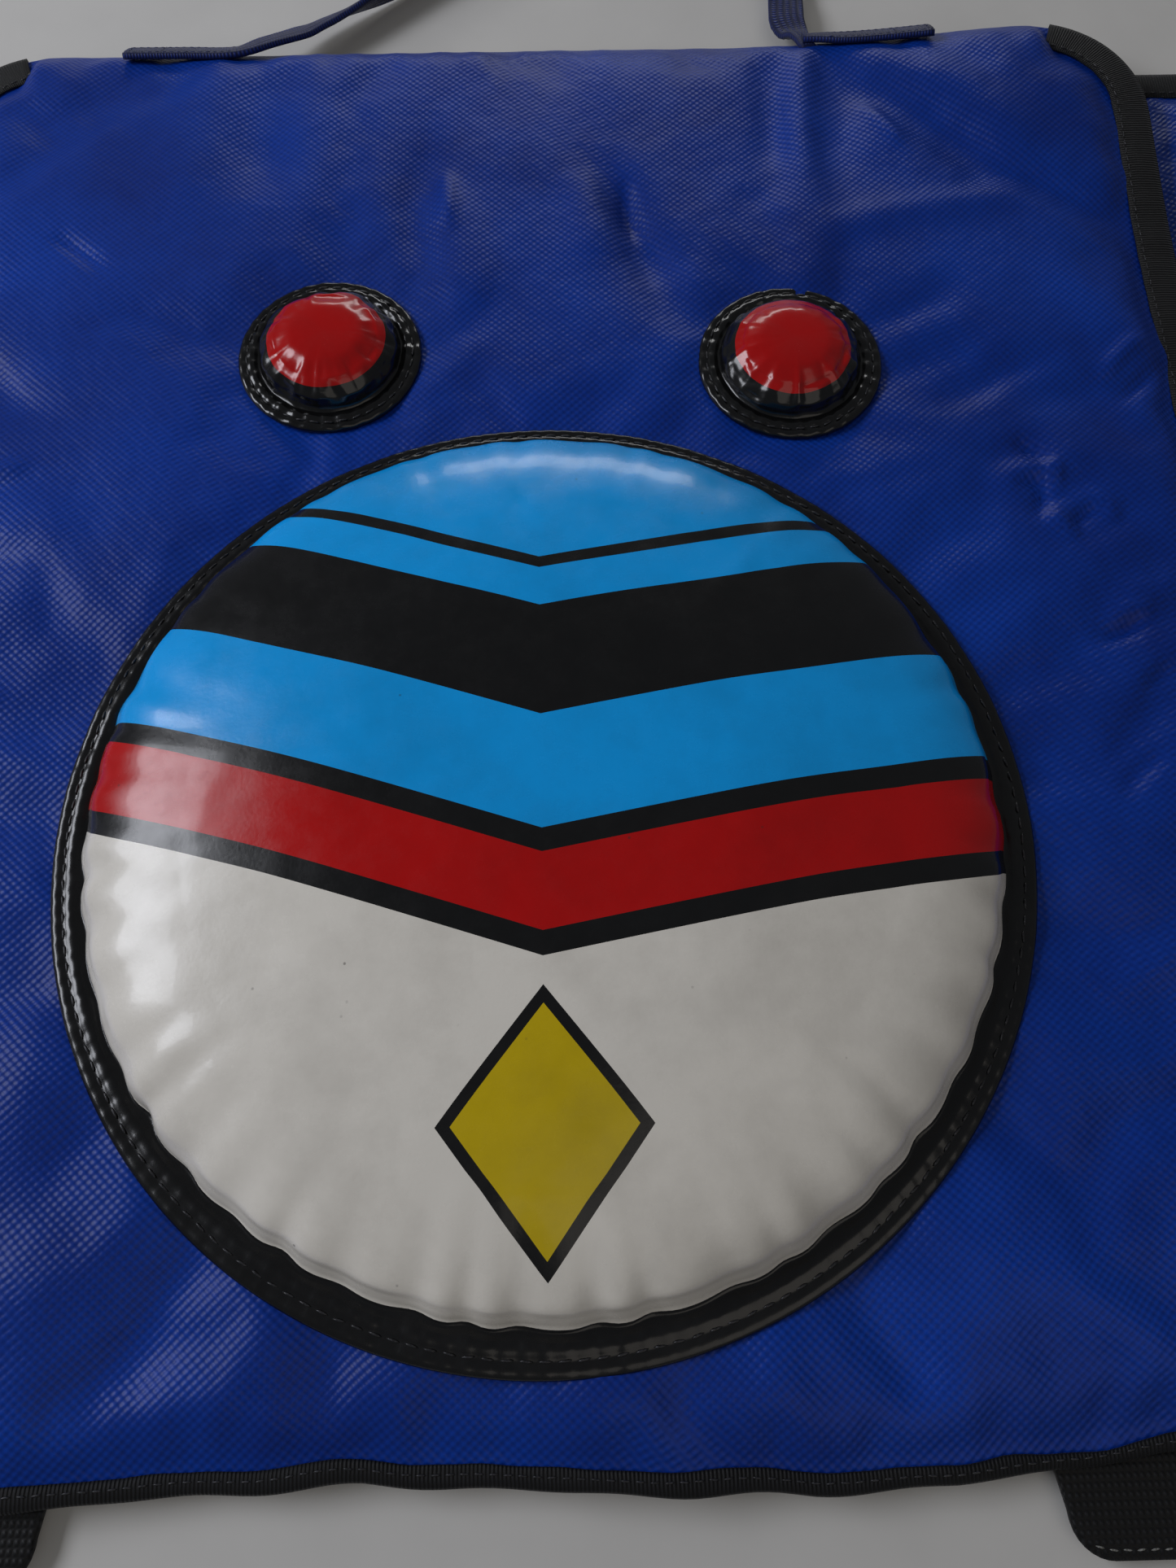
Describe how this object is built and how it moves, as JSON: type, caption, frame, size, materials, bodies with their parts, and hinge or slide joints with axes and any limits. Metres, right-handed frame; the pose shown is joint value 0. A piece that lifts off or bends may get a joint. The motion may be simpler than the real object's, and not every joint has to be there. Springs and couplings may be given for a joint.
{
  "type": "chest protector",
  "caption": "Padded nylon chest protector with a puffed round target, small round targets, folding side wings, waist straps and a neck strap, lying flat front up.",
  "frame": {"origin": "middle of the front panel's back face, which lies against the wearer's chest and here rests on the table", "axes": "+Z out of the panel's front, away from the wearer; +Y towards the neck; +X towards the wearer's left"},
  "size_m": [0.637, 0.6342, 0.0398],
  "materials": {
    "blue_nylon": "coated woven nylon with a satin sheen",
    "white_foam": "matt open-cell foam sheet",
    "black_lining": "matt woven nylon",
    "black_tape": "ribbed woven binding tape",
    "black_vinyl": "glossy coated vinyl",
    "tan_foam": "matt foam",
    "printed_vinyl": "glossy vinyl printed in flat colours",
    "red_vinyl": "glossy vinyl",
    "black_webbing": "folded and stitched nylon",
    "hook_nylon": "hook tape",
    "loop_nylon": "napped loop tape",
    "blue_strap": "folded and stitched nylon"
  },
  "bodies": {
    "front_panel": {"front_shell": "blue_nylon", "front_foam": "white_foam", "front_lining": "black_lining", "front_binding": "black_tape", "top_binding": "black_tape", "target_backing": "black_vinyl", "target_foam": "tan_foam", "target_cover": "printed_vinyl", "small_target_left_backing": "black_vinyl", "small_target_left_foam": "tan_foam", "small_target_left_cover": "red_vinyl", "small_target_right_backing": "black_vinyl", "small_target_right_foam": "tan_foam", "small_target_right_cover": "red_vinyl", "neck_strap_end_left": "blue_strap", "neck_strap_end_right": "blue_strap"},
    "wing_left": {"wing_left_shell": "blue_nylon", "wing_left_foam": "white_foam", "wing_left_lining": "black_lining", "wing_left_binding": "black_tape"},
    "wing_right": {"wing_right_shell": "blue_nylon", "wing_right_foam": "white_foam", "wing_right_lining": "black_lining", "wing_right_binding": "black_tape"},
    "waist_strap_left": {"waist_strap_left": "black_webbing", "hook_patch": "hook_nylon"},
    "waist_strap_right": {"waist_strap_right": "black_webbing", "loop_patch": "loop_nylon"},
    "neck_loop": {"neck_strap": "blue_strap"}
  },
  "joints": [
    {"name": "wing_left_fold", "type": "hinge", "parent": "front_panel", "child": "wing_left", "pos_m": [0.196, 0, 0.00485], "axis": [0, 1, 0], "range_deg": [0, 100]},
    {"name": "wing_right_fold", "type": "hinge", "parent": "front_panel", "child": "wing_right", "pos_m": [-0.196, 0, 0.00485], "axis": [0, -1, 0], "range_deg": [0, 100]},
    {"name": "waist_strap_left_fold", "type": "hinge", "parent": "front_panel", "child": "waist_strap_left", "pos_m": [0.1125, -0.221, 0.00485], "axis": [0, 1, 0], "range_deg": [0, 90]},
    {"name": "waist_strap_right_fold", "type": "hinge", "parent": "front_panel", "child": "waist_strap_right", "pos_m": [-0.1125, -0.221, 0.00485], "axis": [0, -1, 0], "range_deg": [0, 90]},
    {"name": "neck_strap_lift", "type": "hinge", "parent": "front_panel", "child": "neck_loop", "pos_m": [0, 0.229, 0.0074], "axis": [1, 0, 0], "range_deg": [0, 120]}
  ]
}
